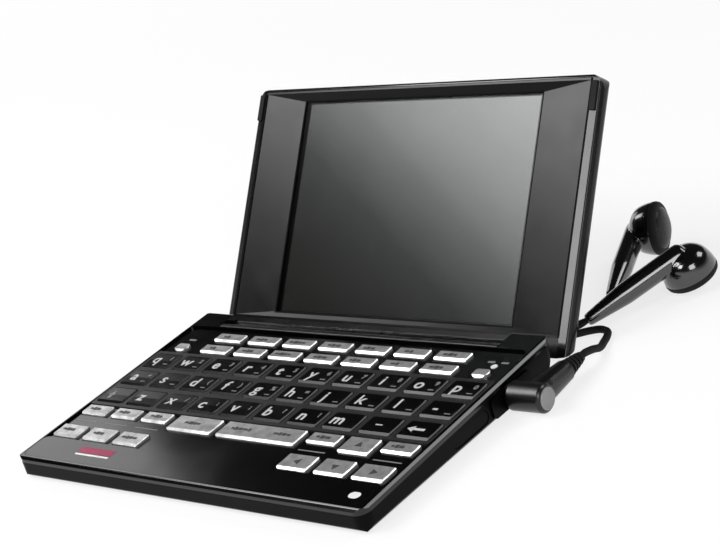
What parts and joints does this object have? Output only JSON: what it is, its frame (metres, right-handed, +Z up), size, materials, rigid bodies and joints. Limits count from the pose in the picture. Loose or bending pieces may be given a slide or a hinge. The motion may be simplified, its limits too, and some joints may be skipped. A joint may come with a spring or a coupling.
{
  "type": "electronic dictionary",
  "caption": "Pocket clamshell electronic dictionary standing open, with a full keyboard, a wide grey screen on a drop hinge, and earphones plugged into its right side.",
  "frame": {"origin": "centre of the bounding box of the dictionary without its earphones, on the table under the feet", "axes": "+X to the user's right, +Y from the front edge to the rear, +Z up"},
  "size_m": [0.1295, 0.136, 0.0539],
  "materials": {
    "black_case": "satin black",
    "gloss_deck": "glossy black",
    "satin_dark": "satin, dark grey",
    "grey_lattice": "satin grey",
    "black_keys": "glossy black",
    "silver_keys": "silver paint under clear coat",
    "lamp_white": "glossy white",
    "membrane": "matte",
    "circuit_board": "solder mask",
    "battery_foil": "satin",
    "speaker_frame": "matte",
    "plated_metal": "plated",
    "hinge_steel": "ground",
    "rubber_black": "matte",
    "screen_clear": "glossy",
    "lcd_grey": "grey-green film",
    "plug_gold": "gold plated",
    "earphone_black": "glossy black",
    "lead_black": "satin",
    "grille_grey": "perforated"
  },
  "bodies": {
    "base": {"bottom_case": "black_case", "top_case": "gloss_deck", "palm_panel": "gloss_deck", "key_grid": "grey_lattice", "hinge_cover": "satin_dark", "status_lamp": "lamp_white", "key_membrane": "membrane", "main_board": "circuit_board", "battery": "battery_foil", "loudspeaker": "speaker_frame", "headphone_jack": "satin_dark", "data_port": "plated_metal", "feet": "rubber_black", "case_screws": "plated_metal", "hinge_pins": "hinge_steel"},
    "lid": {"lid_shell": "gloss_deck", "lid_bezel": "satin_dark", "screen_window": "screen_clear", "lcd_panel": "lcd_grey", "lid_bumpers": "rubber_black"},
    "letter_keys_upper": {"letter_keys_upper": "black_keys"},
    "letter_keys_middle": {"letter_keys_middle": "black_keys"},
    "letter_keys_lower": {"letter_keys_lower": "black_keys"},
    "function_keys_upper": {"function_keys_upper": "silver_keys"},
    "function_keys_lower": {"function_keys_lower": "silver_keys"},
    "power_key": {"power_key": "silver_keys"},
    "sound_key": {"sound_key": "silver_keys"},
    "index_key": {"index_key": "silver_keys"},
    "shift_key": {"shift_key": "silver_keys"},
    "symbol_key": {"symbol_key": "silver_keys"},
    "menu_key": {"menu_key": "silver_keys"},
    "back_key": {"back_key": "silver_keys"},
    "jump_key": {"jump_key": "silver_keys"},
    "scroll_key": {"scroll_key": "silver_keys"},
    "list_key": {"list_key": "silver_keys"},
    "page_up_key": {"page_up_key": "silver_keys"},
    "up_key": {"up_key": "silver_keys"},
    "page_down_key": {"page_down_key": "silver_keys"},
    "left_key": {"left_key": "silver_keys"},
    "down_key": {"down_key": "silver_keys"},
    "right_key": {"right_key": "silver_keys"},
    "battery_cover": {"battery_cover": "black_case"},
    "slot_cover": {"slot_cover": "satin_dark"},
    "earphones": {"plug_contact": "plug_gold", "plug_body": "earphone_black", "plug_relief": "rubber_black", "lead": "lead_black", "lead_coil": "lead_black", "lead_tail": "lead_black", "lead_split": "earphone_black", "bud_lead_left": "lead_black", "bud_lead_right": "lead_black", "earbud_left": "earphone_black", "earbud_right": "earphone_black", "bud_grilles": "grille_grey"}
  },
  "joints": [
    {"name": "lid_hinge", "type": "hinge", "parent": "base", "child": "lid", "pos_m": [0, 0.01113, 0.00385], "axis": [1, 0, 0], "range_deg": [-3, 128.6]},
    {"name": "letter_keys_upper_press", "type": "slide", "parent": "base", "child": "letter_keys_upper", "axis": [0, 0.0366, -0.9993], "range_m": [0, 0.0005], "stiffness_N_per_m": 1500, "springref_m": -0.0003},
    {"name": "letter_keys_middle_press", "type": "slide", "parent": "base", "child": "letter_keys_middle", "axis": [0, 0.0366, -0.9993], "range_m": [0, 0.0005], "stiffness_N_per_m": 1500, "springref_m": -0.0003},
    {"name": "letter_keys_lower_press", "type": "slide", "parent": "base", "child": "letter_keys_lower", "axis": [0, 0.0366, -0.9993], "range_m": [0, 0.0005], "stiffness_N_per_m": 1500, "springref_m": -0.0003},
    {"name": "function_keys_upper_press", "type": "slide", "parent": "base", "child": "function_keys_upper", "axis": [0, 0.0366, -0.9993], "range_m": [0, 0.0005], "stiffness_N_per_m": 1500, "springref_m": -0.0003},
    {"name": "function_keys_lower_press", "type": "slide", "parent": "base", "child": "function_keys_lower", "axis": [0, 0.0366, -0.9993], "range_m": [0, 0.0005], "stiffness_N_per_m": 1500, "springref_m": -0.0003},
    {"name": "power_key_press", "type": "slide", "parent": "base", "child": "power_key", "axis": [0, 0.0366, -0.9993], "range_m": [0, 0.0004], "stiffness_N_per_m": 1500, "springref_m": -0.0003},
    {"name": "sound_key_press", "type": "slide", "parent": "base", "child": "sound_key", "axis": [0, 0.0366, -0.9993], "range_m": [0, 0.0004], "stiffness_N_per_m": 1500, "springref_m": -0.0003},
    {"name": "index_key_press", "type": "slide", "parent": "base", "child": "index_key", "axis": [0, 0.0366, -0.9993], "range_m": [0, 0.0005], "stiffness_N_per_m": 1500, "springref_m": -0.0003},
    {"name": "shift_key_press", "type": "slide", "parent": "base", "child": "shift_key", "axis": [0, 0.0366, -0.9993], "range_m": [0, 0.0005], "stiffness_N_per_m": 1500, "springref_m": -0.0003},
    {"name": "symbol_key_press", "type": "slide", "parent": "base", "child": "symbol_key", "axis": [0, 0.0366, -0.9993], "range_m": [0, 0.0005], "stiffness_N_per_m": 1500, "springref_m": -0.0003},
    {"name": "menu_key_press", "type": "slide", "parent": "base", "child": "menu_key", "axis": [0, 0.0366, -0.9993], "range_m": [0, 0.0005], "stiffness_N_per_m": 1500, "springref_m": -0.0003},
    {"name": "back_key_press", "type": "slide", "parent": "base", "child": "back_key", "axis": [0, 0.0366, -0.9993], "range_m": [0, 0.0005], "stiffness_N_per_m": 1500, "springref_m": -0.0003},
    {"name": "jump_key_press", "type": "slide", "parent": "base", "child": "jump_key", "axis": [0, 0.0366, -0.9993], "range_m": [0, 0.0005], "stiffness_N_per_m": 1500, "springref_m": -0.0003},
    {"name": "scroll_key_press", "type": "slide", "parent": "base", "child": "scroll_key", "axis": [0, 0.0366, -0.9993], "range_m": [0, 0.0005], "stiffness_N_per_m": 1500, "springref_m": -0.0003},
    {"name": "list_key_press", "type": "slide", "parent": "base", "child": "list_key", "axis": [0, 0.0366, -0.9993], "range_m": [0, 0.0005], "stiffness_N_per_m": 1500, "springref_m": -0.0003},
    {"name": "page_up_key_press", "type": "slide", "parent": "base", "child": "page_up_key", "axis": [0, 0.0366, -0.9993], "range_m": [0, 0.0005], "stiffness_N_per_m": 1500, "springref_m": -0.0003},
    {"name": "up_key_press", "type": "slide", "parent": "base", "child": "up_key", "axis": [0, 0.0366, -0.9993], "range_m": [0, 0.0005], "stiffness_N_per_m": 1500, "springref_m": -0.0003},
    {"name": "page_down_key_press", "type": "slide", "parent": "base", "child": "page_down_key", "axis": [0, 0.0366, -0.9993], "range_m": [0, 0.0005], "stiffness_N_per_m": 1500, "springref_m": -0.0003},
    {"name": "left_key_press", "type": "slide", "parent": "base", "child": "left_key", "axis": [0, 0.0366, -0.9993], "range_m": [0, 0.0005], "stiffness_N_per_m": 1500, "springref_m": -0.0003},
    {"name": "down_key_press", "type": "slide", "parent": "base", "child": "down_key", "axis": [0, 0.0366, -0.9993], "range_m": [0, 0.0005], "stiffness_N_per_m": 1500, "springref_m": -0.0003},
    {"name": "right_key_press", "type": "slide", "parent": "base", "child": "right_key", "axis": [0, 0.0366, -0.9993], "range_m": [0, 0.0005], "stiffness_N_per_m": 1500, "springref_m": -0.0003},
    {"name": "battery_cover_slide", "type": "slide", "parent": "base", "child": "battery_cover", "axis": [-1, 0, 0], "range_m": [0, 0.008]},
    {"name": "slot_cover_pull", "type": "slide", "parent": "base", "child": "slot_cover", "axis": [1, 0, 0], "range_m": [0, 0.004]},
    {"name": "plug_pull", "type": "slide", "parent": "base", "child": "earphones", "axis": [1, 0, 0], "range_m": [0, 0.016]}
  ]
}
